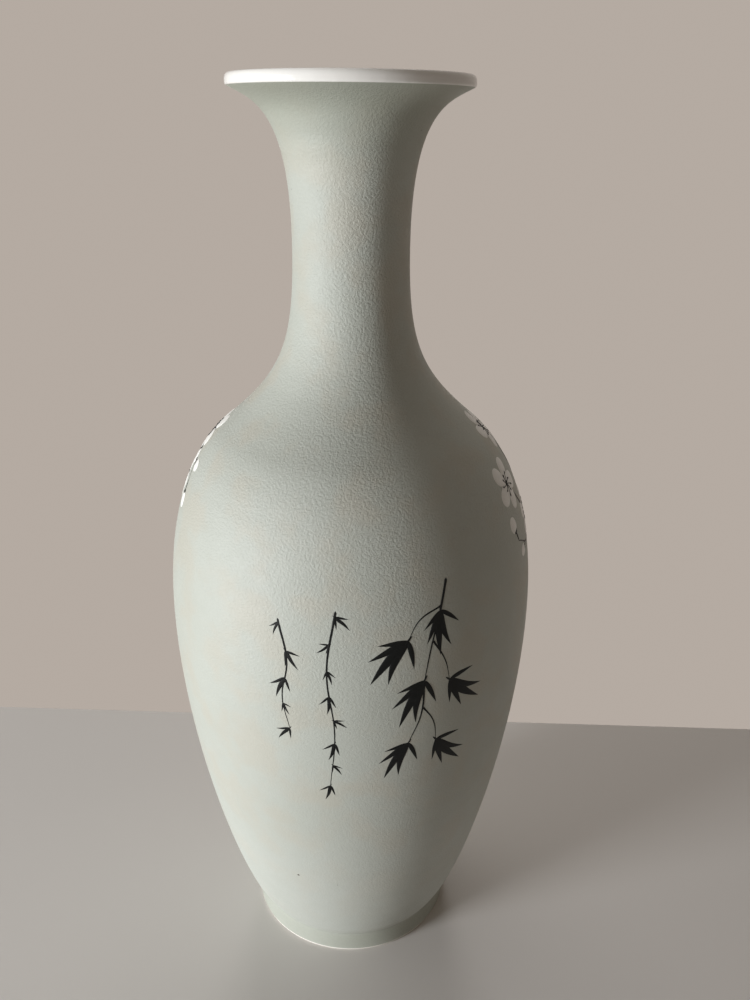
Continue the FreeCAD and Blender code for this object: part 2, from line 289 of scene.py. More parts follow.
class Graph:
    """A node tree that is being written."""

    def __init__(self, tree):
        self.tree = tree

    def add(self, kind, settings, sockets, output=0):
        """A new node, set up and then fed, as the signal of one of its outputs."""
        node = self.tree.nodes.new(kind)
        for name, value in settings.items():
            setattr(node, name, value)
        for key, value in sockets.items():
            self.feed(node.inputs[key], value)
        outputs = node.outputs
        return Signal(self, outputs[output]) if outputs else node

    def feed(self, socket, value):
        if isinstance(value, Signal):
            self.tree.links.new(value.socket, socket)
        else:
            socket.default_value = value

    def maths(self, operation, *values):
        settings = {"operation": operation}
        return self.add("ShaderNodeMath", settings, dict(enumerate(values)))

    def vector(self, x, y, z):
        return self.add("ShaderNodeCombineXYZ", {}, {0: x, 1: y, 2: z})

    def mix(self, factor, first, second):
        """One colour shading into another."""
        settings = {"data_type": "RGBA"}
        return self.add("ShaderNodeMix", settings, {0: factor, 6: first, 7: second}, 2)


def opaque(tint):
    return (*tint, 1.0)


def toned(tint, tones):
    """A colour with each of its channels taken down by a share."""
    return opaque(level * tone for level, tone in zip(tint, tones))


# Materials.

IRON_SPOT = (0.06, 0.05, 0.035)
PINHOLE = (0.25, 0.21, 0.16)


class Finish(Graph):
    """A material's nodes, round one Principled shader."""

    def __init__(self, name, roughness, ior=1.5):
        self.material = bpy.data.materials.new(name)
        self.material.use_nodes = True
        super().__init__(self.material.node_tree)
        self.shader = self.tree.nodes["Principled BSDF"]
        self.shader.inputs["Roughness"].default_value = roughness
        self.shader.inputs["IOR"].default_value = ior
        self.place = self.add("ShaderNodeTexCoord", {}, {}, "Object")
        self.height = self.place.parts()[2]

    def noise(self, pitch, detail=2.0, roughness=0.5, place=None):
        """Smooth noise from 0 to 1 whose lumps are about as far apart as the pitch."""
        sockets = {
            "Vector": place or self.place,
            "Scale": 1.0 / pitch,
            "Detail": detail,
            "Roughness": roughness,
        }
        return self.add("ShaderNodeTexNoise", {}, sockets)

    def cells(self, pitch, feature, output):
        """Irregular cells as wide as the pitch."""
        settings = {"feature": feature}
        sockets = {"Vector": self.place, "Scale": 1.0 / pitch}
        return self.add("ShaderNodeTexVoronoi", settings, sockets, output)

    def between(self, start, end):
        """0 below one height, 1 above the other and smooth between."""
        return self.eased(self.height, start, end)

    def eased(self, value, start, end):
        settings = {"interpolation_type": "SMOOTHSTEP"}
        sockets = {0: value, 1: start, 2: end, 3: 0.0, 4: 1.0}
        return self.add("ShaderNodeMapRange", settings, sockets)

    def rings(self, pitch, wander):
        """Throwing marks: level grooves that wander a little."""
        drift = self.noise(0.05, 1.0) * wander
        turn = (self.height + drift) * (math.tau / pitch)
        return self.maths("SINE", turn, 0.0) * 0.5 + 0.5

    def relief(self, height):
        """A bump from a height in metres."""
        sockets = {"Height": height, "Distance": 1.0, "Strength": 1.0}
        return self.add("ShaderNodeBump", {}, sockets)

    def speckles(self, pitch, size, keep):
        """Rare specks: 1 in the middle of a few of the cells."""
        near = self.cells(pitch, "F1", "Distance")
        chosen = self.cells(pitch, "F1", "Color").parts()[0]
        picked = self.maths("LESS_THAN", chosen, keep)
        return (1.0 - self.eased(near, size * 0.5, size)) * picked

    def done(self, tint, normal, roughness=None, **levels):
        self.feed(self.shader.inputs["Base Color"], tint)
        self.feed(self.shader.inputs["Normal"], normal)
        if roughness:
            self.feed(self.shader.inputs["Roughness"], roughness)
        for name, level in levels.items():
            self.shader.inputs[name.replace("_", " ")].default_value = level
        return self.material


def celadon_finish(glazes):
    """Satin grey-green glaze, dimpled all over, deeper in tone in its clouds, with painted shade
    above the foot, under the lip band and in its dimples, and painted light on the lower wall.
    """
    finish = Finish("celadon_satin", roughness=0.4)
    pitch = glazes.peel_pitch
    clouds = finish.noise(pitch=0.060)
    mottle = finish.noise(pitch=0.009, detail=3.0)
    wander = (pitch * 0.35,) * 3
    bend = finish.add(
        "ShaderNodeVectorMath",
        {"operation": "MULTIPLY_ADD"},
        {
            0: finish.noise(pitch * 2.2, detail=1.0).other("Color"),
            1: wander,
            2: finish.place,
        },
    )
    dimples = finish.noise(pitch, detail=3.0, roughness=0.80, place=bend)
    coarse = finish.eased(finish.noise(pitch * 1.9, detail=1.0), 0.35, 0.65)
    peel = dimples * 0.74 + coarse * 0.26
    # Painted shade: the glaze is darkened on the skirt just above the foot and on the mouth just
    # under the lip band.
    foot_shade = 1.0 - finish.between(0.0080, 0.0150)
    lip_shade = finish.between(0.4120, 0.4540)
    painted_shade = finish.maths("MAXIMUM", foot_shade * 0.46, lip_shade * 0.60)
    # The deep colour comes in where the glaze's own clouds run dark and where the painted shade
    # lies.
    depth = clouds * 0.30 + mottle * 0.12 + painted_shade
    # Painted shade in the hollows of the dimples, which are also made a little rougher.
    dimple_shade = (1.0 - peel) * 0.16
    warm = finish.eased(finish.noise(pitch=0.022, detail=3.0), 0.44, 0.66)
    thin = finish.mix(warm * 0.75, opaque(glazes.celadon), opaque(glazes.celadon_warm))
    # Painted light: the wall is made paler from a little above the foot down, as if lit from the
    # table below.
    painted_bounce = 1.0 - finish.between(0.015, 0.150)
    thin = finish.mix(painted_bounce * 0.75, thin, opaque(glazes.celadon_thin))
    tint = finish.mix(depth + dimple_shade, thin, opaque(glazes.celadon_deep))
    specks = finish.speckles(pitch=0.030, size=0.016, keep=0.20)
    tint = finish.mix(specks * 0.7, tint, opaque(IRON_SPOT))
    rings = finish.rings(pitch=0.011, wander=0.006)
    thick = finish.between(0.13, 0.29) * 0.72 + 0.34
    thick = thick * (1.0 - finish.between(0.40, 0.45) * 0.5)
    ring_depth = finish.between(0.39, 0.43) * 0.00010 + 0.00005
    normal = finish.relief(rings * ring_depth + peel * thick * glazes.peel_depth)
    gloss = 0.40 + mottle * 0.12 + dimple_shade
    return finish.done(tint, normal, gloss)


def white_finish(glazes):
    """Clear glossy glaze over white porcelain, with throwing marks under it."""
    finish = Finish("white_gloss", roughness=0.14)
    clouds = finish.noise(pitch=0.035)
    ripple = finish.noise(pitch=0.006)
    warm = toned(glazes.white, (0.94, 0.91, 0.86))
    pinholes = finish.speckles(pitch=0.011, size=0.028, keep=0.16)
    tint = finish.mix(clouds * 0.45, opaque(glazes.white), warm)
    tint = finish.mix(pinholes * 0.45, tint, opaque(PINHOLE))
    inside = 1.0 - finish.between(0.430, 0.452)
    rings = finish.rings(pitch=0.0075, wander=0.004) * inside
    normal = finish.relief(rings * 0.00030 + ripple * 0.00012)
    return finish.done(tint, normal, 0.11 + clouds * 0.08)


def clay_finish(glazes):
    """Bare fired porcelain: matt, finely grained, a little soiled where it stands."""
    finish = Finish("fired_porcelain", roughness=0.72, ior=1.45)
    grain = finish.noise(pitch=0.00035)
    clouds = finish.noise(pitch=0.008, detail=3.0)
    soil = (1.0 - finish.between(0.0, 0.0009)) * clouds
    dark = toned(glazes.clay, (0.62, 0.56, 0.48))
    tint = finish.mix(soil * 0.35 + clouds * 0.10, opaque(glazes.clay), dark)
    normal = finish.relief(grain * 0.00004)
    return finish.done(tint, normal, 0.66 + clouds * 0.16)


def enamel_finish(name, tint, pale, gloss, ripple):
    """Overglaze enamel: brushed, a little uneven in tone and in thickness."""
    finish = Finish(name, gloss)
    streaks = finish.noise(pitch=0.0016, detail=3.0, roughness=0.6)
    clouds = finish.noise(pitch=0.010)
    thin = finish.eased(streaks * 0.7 + clouds * 0.5, 0.62, 0.86)
    rubbed = tuple(level + pale for level in tint)
    shade = finish.mix(thin, opaque(tint), opaque(rubbed))
    normal = finish.relief(finish.noise(pitch=0.0012) * ripple)
    return finish.done(shade, normal, gloss + streaks * 0.14, Specular_IOR_Level=0.22)


def plain_finish(name, tint, roughness):
    """A matt surface of nearly one colour."""
    finish = Finish(name, roughness)
    clouds = finish.noise(pitch=0.25)
    shade = finish.mix(clouds, opaque(tint), toned(tint, (0.975, 0.975, 0.975)))
    grain = finish.relief(finish.noise(pitch=0.004) * 0.00002)
    return finish.done(shade, grain)


# Outlines.


class Stop:
    """A point of an outline and the way the outline runs through it."""

    def __init__(self, radius, height, lean):
        self.radius = radius
        self.height = height
        self.lean = lean

    def inward(self, depth):
        """The stop set in from the outline by a depth, along its normal."""
        radius = self.radius - depth * math.cos(self.lean)
        return Stop(radius, self.height + depth * math.sin(self.lean), self.lean)

    def along(self, distance):
        """The stop moved on along its own way."""
        radius = self.radius + distance * math.sin(self.lean)
        return Stop(radius, self.height + distance * math.cos(self.lean), self.lean)

    def moved(self, out, rise, lean):
        """Another stop, this far out and up, with a lean of its own."""
        return Stop(self.radius + out, self.height + rise, lean)

    def place(self):
        return Vector((self.radius, 0, self.height))


def straight_wall(start, height, depth):
    """The stop at a height of the straight wall that rises from a stop, set in by a depth."""
    out = (height - start.height) * math.tan(start.lean)
    radius = start.radius + out - depth / math.cos(start.lean)
    return Stop(radius, height, start.lean)


def curve(first, first_pull, last_pull, last):
    """The four poles of the curve from one stop to the next."""
    stops = (first, first.along(first_pull), last.along(-last_pull), last)
    return [stop.place() for stop in stops]


def corner(stop):
    return [stop.place()]


def backwards(runs):
    """The same chain of runs, drawn the other way."""
    return [list(reversed(run)) for run in reversed(runs)]


class Profile:
    """Every stop and run of the vase, worked out from its outline and its walls."""

    def __init__(self, outline, walls):
        self.outline = outline
        self.walls = walls
        half_turn = math.pi / 2
        foot = low("celadon_glaze").z
        self.skirt = Stop(outline.foot_radius, foot, -outline.skirt_lean)
        waist = straight_wall(self.skirt, outline.waist_height, 0)
        self.spring = waist.moved(
            outline.spring_outset, outline.spring_rise, outline.spring_angle
        )
        self.heel = self.spring.moved(walls.heel_outset, walls.heel_rise, walls.heel_angle)
        height = self.spring.height + outline.belly_rise
        self.belly = Stop(outline.belly_radius, height, 0)
        height += outline.shoulder_rise
        self.shoulder = Stop(outline.shoulder_radius, height, -outline.shoulder_angle)
        height += outline.neck_rise
        self.throat = Stop(outline.neck_radius, height, 0)
        height += outline.mouth_rise
        self.mouth = Stop(outline.lip_radius, height, outline.mouth_angle)
        self.lip_edge = self.mouth.moved(outline.lip_overhang, outline.lip_edge_rise, 0)
        self.lip_top = self.mouth.moved(-outline.lip_inset, outline.lip_rise, -half_turn)
        ring_radius = outline.foot_radius - walls.ring_width
        self.ring_inside = Stop(ring_radius, foot, -walls.ring_lean)
        self.land_outside = Stop(outline.foot_radius - walls.edge_round, 0, half_turn)
        self.land_inside = Stop(ring_radius + walls.edge_round, 0, -half_turn)

    def below(self, stop):
        return stop.along(-self.walls.half_lute)

    def above(self, stop):
        return stop.along(self.walls.half_lute)

    def through(self, wall, coat):
        return self.walls.glaze + wall + coat

    def waist_run(self, depth):
        outline = self.outline
        pull = outline.spring_rise * outline.round_pull
        height = outline.waist_height + self.walls.half_lute
        foot = straight_wall(self.skirt, height, depth)
        return curve(foot, pull, pull, self.spring.inward(depth))

    def lower_run(self, depth):
        outline = self.outline
        return curve(
            self.spring.inward(depth),
            outline.belly_rise * outline.spring_pull,
            outline.belly_rise * outline.belly_pull_below,
            self.below(self.belly).inward(depth),
        )

    def upper_run(self, belly_depth, shoulder_depth, drop):
        outline = self.outline
        return curve(
            self.above(self.belly).inward(belly_depth).along(-drop),
            outline.shoulder_rise * outline.belly_pull_above,
            outline.shoulder_rise * outline.shoulder_pull,
            self.below(self.shoulder).inward(shoulder_depth).along(-drop),
        )

    def neck_run(self, shoulder_depth, throat_depth, drop):
        outline = self.outline
        return curve(
            self.above(self.shoulder).inward(shoulder_depth).along(-drop),
            outline.neck_rise * outline.neck_foot_pull,
            outline.neck_rise * outline.throat_pull_below,
            self.throat.inward(throat_depth),
        )

    def mouth_run(self, throat_depth, mouth_depth, drop):
        outline = self.outline
        return curve(
            self.throat.inward(throat_depth),
            outline.mouth_rise * outline.throat_pull_above,
            outline.mouth_rise * outline.mouth_pull,
            self.mouth.inward(mouth_depth).along(-drop),
        )

    def lip_runs(self, depth, coat):
        """From under the lip band, over the lip and in to the rounded inside."""
        outline = self.outline
        walls = self.walls
        low_pull = outline.lip_edge_rise * outline.round_pull
        high_pull = (outline.lip_rise - outline.lip_edge_rise) * outline.round_pull
        inside = self.mouth.inward(self.through(walls.mouth, coat))
        inside = inside.along(-walls.lip_round)
        running_down = Stop(inside.radius, inside.height, inside.lean - math.pi)
        edge = self.lip_edge.inward(depth)
        top = self.lip_top.inward(depth)
        return [
            curve(self.mouth.inward(depth), low_pull, low_pull, edge),
            curve(edge, high_pull, high_pull, top),
            curve(top, high_pull, walls.lip_round, running_down),
        ]

    def outside(self, depth):
        """The celadon's face from its lower edge to the lip band, set in by a depth."""
        return [
            corner(straight_wall(self.skirt, self.skirt.height, depth)),
            self.waist_run(depth),
            self.lower_run(depth),
            self.upper_run(depth, depth, 0),
            self.neck_run(depth, depth, 0),
            self.mouth_run(depth, depth, 0),
        ]

    def inside(self, coat):
        """The inside from the middle of the floor up to the lip."""
        outline = self.outline
        walls = self.walls
        turn = self.heel.inward(self.through(walls.heel, coat))
        rise = outline.belly_rise - walls.heel_rise
        belly_depth = self.through(walls.belly, coat)
        belly = self.below(self.belly).inward(belly_depth)
        shoulder_depth = self.through(walls.shoulder, coat)
        neck_depth = self.through(walls.neck, coat)
        return [
            curve(
                Stop(0, walls.floor_top + coat, math.pi / 2),
                turn.radius * walls.floor_pull,
                walls.heel_rise * walls.heel_pull,
                turn,
            ),
            curve(
                turn,
                rise * walls.heel_pull_above,
                rise * outline.belly_pull_below,
                belly.along(-walls.seam_bevel),
            ),
            self.upper_run(belly_depth, shoulder_depth, walls.seam_bevel),
            self.neck_run(shoulder_depth, neck_depth, walls.seam_bevel),
            self.mouth_run(neck_depth, self.through(walls.mouth, coat), walls.lip_round),
        ]


def drawn(name, runs, closed, smoothness):
    """A curve object through runs of one or four poles, joined by straight lines."""
    points = []
    for run in runs:
        if not points or (points[-1][0] - run[0]).length > TOUCH:
            points.append([run[0], None, None])
        if len(run) > 1:
            points[-1][2] = run[1]
            points.append([run[3], run[2], None])
    if closed and (points[0][0] - points[-1][0]).length <= TOUCH:
        points[0][1] = points.pop()[1]
    data = bpy.data.curves.new(name, "CURVE")
    data.dimensions = "3D"
    data.resolution_u = smoothness
    spline = data.splines.new("BEZIER")
    spline.bezier_points.add(len(points) - 1)
    spline.use_cyclic_u = closed
    spline.resolution_u = smoothness
    for index, (place, arrive, leave) in enumerate(points):
        point = spline.bezier_points[index]
        before = points[index - 1][0]
        after = points[(index + 1) % len(points)][0]
        point.co = place
        point.handle_left_type = "FREE" if arrive else "VECTOR"
        point.handle_right_type = "FREE" if leave else "VECTOR"
        point.handle_left = arrive or place.lerp(before, 1 / 3)
        point.handle_right = leave or place.lerp(after, 1 / 3)
    return linked(bpy.data.objects.new(name, data))


def linked(thing):
    bpy.context.scene.collection.objects.link(thing)
    return thing


# Geometry trees.


class Shaping(Graph):
    """A geometry tree with named inputs, whose result has one material."""

    def __init__(self, name, objects, numbers=(), counts=()):
        super().__init__(bpy.data.node_groups.new(name, "GeometryNodeTree"))
        face = self.tree.interface
        face.new_socket("Geometry", in_out="OUTPUT", socket_type="NodeSocketGeometry")
        kinds = dict.fromkeys(objects, "NodeSocketObject")
        kinds |= dict.fromkeys(numbers, "NodeSocketFloat")
        kinds |= dict.fromkeys(counts, "NodeSocketInt")
        kinds["finish"] = "NodeSocketMaterial"
        self.keys = {}
        for key, kind in kinds.items():
            label = key.replace("_", " ").capitalize()
            socket = face.new_socket(label, in_out="INPUT", socket_type=kind)
            self.keys[key] = socket.identifier
        self.given = self.tree.nodes.new("NodeGroupInput")
        self.result = self.tree.nodes.new("NodeGroupOutput")

    def take(self, name):
        sockets = self.given.outputs
        found = next(s for s in sockets if s.identifier == self.keys[name])
        return Signal(self, found)

    def shape_of(self, name):
        """The geometry of an object that is given as an input."""
        settings = {"transform_space": "ORIGINAL"}
        sockets = {"Object": self.take(name)}
        return self.add("GeometryNodeObjectInfo", settings, sockets, "Geometry")

    def chance(self, least, most, seed):
        """A number between two, drawn for each point."""
        sockets = {2: least, 3: most, "Seed": seed}
        return self.add("FunctionNodeRandomValue", {"data_type": "FLOAT"}, sockets, 1)

    def finish(self, geometry):
        """Ends the tree in Realize Instances and Set Material."""
        real = self.add("GeometryNodeRealizeInstances", {}, {0: geometry})
        smooth = self.add("GeometryNodeSetShadeSmooth", {}, {0: real})
        sockets = {"Geometry": smooth, "Material": self.take("finish")}
        last = self.add("GeometryNodeSetMaterial", {}, sockets)
        self.feed(self.result.inputs[0], last)

    def make(self, name, **values):
        """A plain mesh object, made by the tree from these values of its inputs."""
        piece = linked(bpy.data.objects.new(name, bpy.data.meshes.new(name)))
        modifier = piece.modifiers.new(name, "NODES")
        modifier.node_group = self.tree
        for key, value in values.items():
            modifier[self.keys[key]] = value
        graph = bpy.context.evaluated_depsgraph_get()
        mesh = bpy.data.meshes.new_from_object(piece.evaluated_get(graph))
        piece.modifiers.remove(modifier)
        piece.data = mesh
        mesh.name = name
        return piece


def lathe():
    """Turns an outline about Z. It is drawn in XZ, up its outer side and down its inner one."""
    shaping = Shaping("Turned outline", objects=("outline",), counts=("segments",))
    hub = 0.010
    sockets = {
        "Geometry": shaping.shape_of("outline"),
        "Translation": (-hub, 0, 0),
        "Rotation": (math.pi / 2, 0, 0),
    }
    laid = shaping.add("GeometryNodeTransform", {}, sockets)
    sockets = {"Resolution": shaping.take("segments"), "Radius": hub}
    circle = shaping.add("GeometryNodeCurvePrimitiveCircle", {}, sockets)
    sockets = {"Curve": circle, "Profile Curve": laid}
    turned = shaping.add("GeometryNodeCurveToMesh", {}, sockets)
    sockets = {"Geometry": turned, "Distance": TOUCH}
    whole = shaping.add("GeometryNodeMergeByDistance", {}, sockets)
    outwards = shaping.add("GeometryNodeFlipFaces", {}, {0: whole})
    shaping.finish(outwards)
    return shaping


def wrapped(shaping, geometry, fullest=None):
    """Lays flat work on the wall: x round the belly, y up along the wall and z off it.

    Each stroke keeps its own width, because x counts from its anchor at the wall's own girth.
    With a fullest height, broad work levels off there, as thick enamel does.
    """
    x, y, z = shaping.add("GeometryNodeInputPosition", {}, {}).parts()
    if fullest:
        z = shaping.maths("TANH", z / fullest, 0.0) * fullest
    settings = {"data_type": "FLOAT_VECTOR"}
    anchor = shaping.add("GeometryNodeInputNamedAttribute", settings, {"Name": "anchor"})
    anchor_x = anchor.parts()[0]
    settings = {"mode": "LENGTH", "use_all_curves": True}
    sockets = {"Curves": shaping.shape_of("outline"), "Length": y}
    wall = shaping.add("GeometryNodeSampleCurve", settings, sockets, "Position")
    radius, _, height = wall.parts()
    out, _, up = wall.other("Tangent").parts()
    azimuth = anchor_x / shaping.take("girth") + (x - anchor_x) / radius
    proud_radius = radius + z * up
    place = shaping.vector(
        proud_radius * shaping.maths("SINE", azimuth, 0.0),
        proud_radius * shaping.maths("COSINE", azimuth, 0.0) * -1.0,
        height - z * out,
    )
    sockets = {"Geometry": geometry, "Position": place}
    return shaping.add("GeometryNodeSetPosition", {}, sockets)


def anchored(shaping, geometry):
    """Notes where each point of the geometry lies in the flat work."""
    place = shaping.add("GeometryNodeInputPosition", {}, {})
    settings = {"data_type": "FLOAT_VECTOR", "domain": "POINT"}
    sockets = {"Geometry": geometry, "Name": "anchor", "Value": place}
    return shaping.add("GeometryNodeStoreNamedAttribute", settings, sockets)


def twig_shaping():
    """Brushes each line of a flat drawing as a raised stroke on the wall."""
    shaping = Shaping(
        "Brushed twigs",
        objects=("outline", "twigs"),
        numbers=("girth", "step", "relief", "fullest", "knots"),
    )
    settings = {"mode": "LENGTH"}
    sockets = {"Curve": shaping.shape_of("twigs"), "Length": shaping.take("step")}
    even = shaping.add("GeometryNodeResampleCurve", settings, sockets)
    noted = anchored(shaping, even)
    nib_sides = 10
    sockets = {"Resolution": nib_sides, "Radius": 1.0}
    circle = shaping.add("GeometryNodeCurvePrimitiveCircle", {}, sockets)
    flat = shaping.vector(1.0, shaping.take("relief"), 1.0)
    nib = shaping.add("GeometryNodeTransform", {}, {"Geometry": circle, "Scale": flat})
    uneven = shaping.add("ShaderNodeTexNoise", {}, {"Scale": 160.0, "Detail": 2.0})
    width = shaping.add("GeometryNodeInputRadius", {}, {})
    along = shaping.add("GeometryNodeSplineParameter", {}, {}, "Length")
    blunt = 0.03
    bare = 1.0 - shaping.maths("MINIMUM", along / width, 1.0)
    rounded_start = shaping.maths("SQRT", (1.0 + blunt) - bare * bare, 0.0)
    width = width * rounded_start * (1.0 + (uneven - 0.5) * shaping.take("knots"))
    sockets = {"Curve": noted, "Profile Curve": nib, "Scale": width, "Fill Caps": True}
    mesh = shaping.add("GeometryNodeCurveToMesh", {}, sockets)
    shaping.finish(wrapped(shaping, mesh, shaping.take("fullest")))
    return shaping


def ornament_shaping():
    """Sets an ornament along the lines of a flat drawing, from each tip back, side by side."""
    shaping = Shaping(
        "Ornaments along twigs",
        objects=("outline", "twigs", "ornament"),
        numbers=("girth", "bare_share", "spacing", "lean", "scatter", "smallest", "largest"),
        counts=("seed",),
    )
    sockets = {"Curve": shaping.shape_of("twigs"), "Start": shaping.take("bare_share")}
    clothed = shaping.add("GeometryNodeTrimCurve", {"mode": "FACTOR"}, sockets)
    from_tip = shaping.add("GeometryNodeReverseCurve", {}, {0: clothed})
    sockets = {"Curve": from_tip, "Length": shaping.take("spacing")}
    points = shaping.add("GeometryNodeCurveToPoints", {"mode": "LENGTH"}, sockets)
    noted = anchored(shaping, points)
    back_x, back_y, _ = points.other("Tangent").parts()
    index = shaping.add("GeometryNodeInputIndex", {}, {})
    side = (index % 2.0) * 2.0 - 1.0
    scatter = shaping.take("scatter")
    seed = shaping.take("seed")
    jitter = shaping.chance(scatter * -1.0, scatter, seed)
    scale = shaping.chance(shaping.take("smallest"), shaping.take("largest"), seed + 1.0)
    growth = shaping.maths("ARCTAN2", back_y * -1.0, back_x * -1.0)
    turn = growth + side * shaping.take("lean") + jitter
    sockets = {
        "Points": noted,
        "Instance": shaping.shape_of("ornament"),
        "Rotation": shaping.vector(0.0, 0.0, turn),
        "Scale": scale,
    }
    placed = shaping.add("GeometryNodeInstanceOnPoints", {}, sockets)
    real = shaping.add("GeometryNodeRealizeInstances", {}, {0: placed})
    shaping.finish(wrapped(shaping, real))
    return shaping


# Brushwork.

PETALS = 5
HAIRS = 9
FIRST_TURN = 0.3


def leaf_swell(way):
    """Half width of a leaf along its way: full soon after its start, then a fine tip."""
    return math.sin(math.pi * way**0.62) ** 0.9


def petal_swell(way):
    """Half width of a petal: narrow at the heart of the flower and round at its end."""
    return drop_swell(way) * (0.62 + 0.38 * way)


def drop_swell(way):
    return math.sqrt(max(0.0, 1 - (2 * way - 1) ** 2))


def hair_swell(way):
    """Half width of a hair-line, which ends in a dot."""
    return 0.34 + 0.66 * math.exp(-(((way - 0.86) / 0.10) ** 2))


class Brushwork:
    """Raised strokes on a flat ground, gathered in one mesh."""

    def __init__(self, sides, steps, sink):
        self.sides = sides
        self.steps = steps
        self.sink = sink
        self.places = []
        self.faces = []

    def stroke(self, start, turn, size, swell, bend=0.0, climb=0.0):
        """One closed stroke from a start point.

        Its size is its length, width and relief, its bend a sideways bow as a share of its
        length, and its climb how much further off the ground it ends.
        """
        length, width, relief = size
        along = Vector((math.cos(turn), math.sin(turn), 0))
        across = Vector((-math.sin(turn), math.cos(turn), 0))
        end = Vector(start) + along * length + Vector((0, 0, climb))
        first = len(self.places)
        self.places.append(Vector(start))
        for step in range(1, self.steps):
            way = (1 - math.cos(math.pi * step / self.steps)) / 2
            bow = across * (bend * length * math.sin(math.pi * way))
            middle = Vector(start).lerp(end, way) + bow
            self.add_ring(middle, across * (width / 2 * swell(way)), relief * swell(way))
        self.places.append(end)
        self.close(first)

    def add_ring(self, middle, reach, relief):
        for side in range(self.sides):
            round_angle = math.tau * side / self.sides
            lift = math.sin(round_angle)
            rise = lift * (relief if lift > 0 else self.sink)
            self.places.append(middle + reach * math.cos(round_angle) + Vector((0, 0, rise)))

    def close(self, first):
        """Faces of the stroke whose points follow the first."""
        last = len(self.places) - 1
        sides = self.sides
        for side in range(sides):
            after = (side + 1) % sides
            self.faces.append((first, first + 1 + after, first + 1 + side))
            for ring in range(self.steps - 2):
                a = first + 1 + ring * sides
                b = a + sides
                self.faces.append((a + side, a + after, b + after, b + side))
            end = first + 1 + (self.steps - 2) * sides
            self.faces.append((end + side, end + after, last))

    def made(self, name):
        mesh = bpy.data.meshes.new(name)
        mesh.from_pydata([tuple(place) for place in self.places], [], self.faces)
        return linked(bpy.data.objects.new(name, mesh))


def leaf_fan(name, brush, leaves, spread, seed):
    """A cluster of pointed leaves from one bud, the middle ones longest."""
    chance = random.Random(seed)
    work = Brushwork(sides=10, steps=14, sink=brush.sink)
    for leaf in range(leaves):
        lean = spread * (2 * leaf / (leaves - 1) - 1) + chance.uniform(-0.12, 0.12)
        reach = brush.leaf_length * (1 - 0.42 * abs(lean) / spread) * chance.uniform(0.8, 1.15)
        size = (reach, reach * brush.leaf_slimness, brush.ink_relief)
        start = Vector((0, chance.uniform(-0.0004, 0.0004), 0))
        bend = chance.uniform(-0.09, 0.09)
        work.stroke(start, lean, size, leaf_swell, bend)
    stalk_width = 0.0007
    stalk = (brush.leaf_length * 0.22, stalk_width, brush.ink_relief)
    work.stroke((-brush.leaf_length * 0.12, 0, 0), 0.0, stalk, drop_swell)
    return work.made(name)


def blossom_petals(brush):
    """Round petals in relief, set round a small gap."""
    work = Brushwork(sides=20, steps=16, sink=brush.sink)
    gap = brush.petal_length * 0.10
    size = (brush.petal_length, brush.petal_length * 0.86, brush.petal_relief)
    for petal in range(PETALS):
        turn = math.tau * petal / PETALS + FIRST_TURN
        start = (gap * math.cos(turn), gap * math.sin(turn), 0)
        work.stroke(start, turn, size, petal_swell, bend=0.02)
    return work.made("petals")


def blossom_hairs(brush):
    """The dark heart of the flower, and hair-lines out to dots that lie on its petals."""
    work = Brushwork(sides=8, steps=12, sink=brush.petal_relief * 0.8)
    hair_width = 0.00095
    hair_relief = 0.00022
    base = (0, 0, brush.petal_relief * 0.30)
    climb = brush.petal_relief * 0.62
    for hair in range(HAIRS):
        turn = math.tau * hair / HAIRS + FIRST_TURN
        reach = brush.petal_length * (0.52 if hair % 2 else 0.40)
        size = (reach, hair_width, hair_relief)
        work.stroke(base, turn, size, hair_swell, bend=0.05, climb=climb)
    heart = 0.0020
    size = (heart, heart, brush.petal_relief * 1.1)
    work.stroke((-heart / 2, 0, 0), 0.0, size, drop_swell)
    return work.made("hairs")


def bud_drop(brush):
    """A round bud at the end of its stalk."""
    work = Brushwork(sides=16, steps=14, sink=brush.sink)
    size = (brush.petal_length * 0.66, brush.petal_length * 0.56, brush.petal_relief)
    work.stroke((brush.petal_length * 0.42, 0, 0), 0.0, size, drop_swell)
    return work.made("drop")


def bud_cup(brush):
    """The stalk of a bud, and the dark cup that holds it."""
    work = Brushwork(sides=10, steps=10, sink=brush.sink)
    reach = brush.petal_length * 0.50
    stalk_width = 0.0010
    stalk_relief = 0.0002
    work.stroke((0, 0, 0), 0.0, (reach, stalk_width, stalk_relief), drop_swell)
    sepal_width = 0.0016
    sepal = (brush.petal_length * 0.26, sepal_width, brush.petal_relief * 0.9)
    for lean in (-0.75, 0.0, 0.75):
        work.stroke((reach * 0.80, 0, 0), lean, sepal, leaf_swell)
    return work.made("cup")


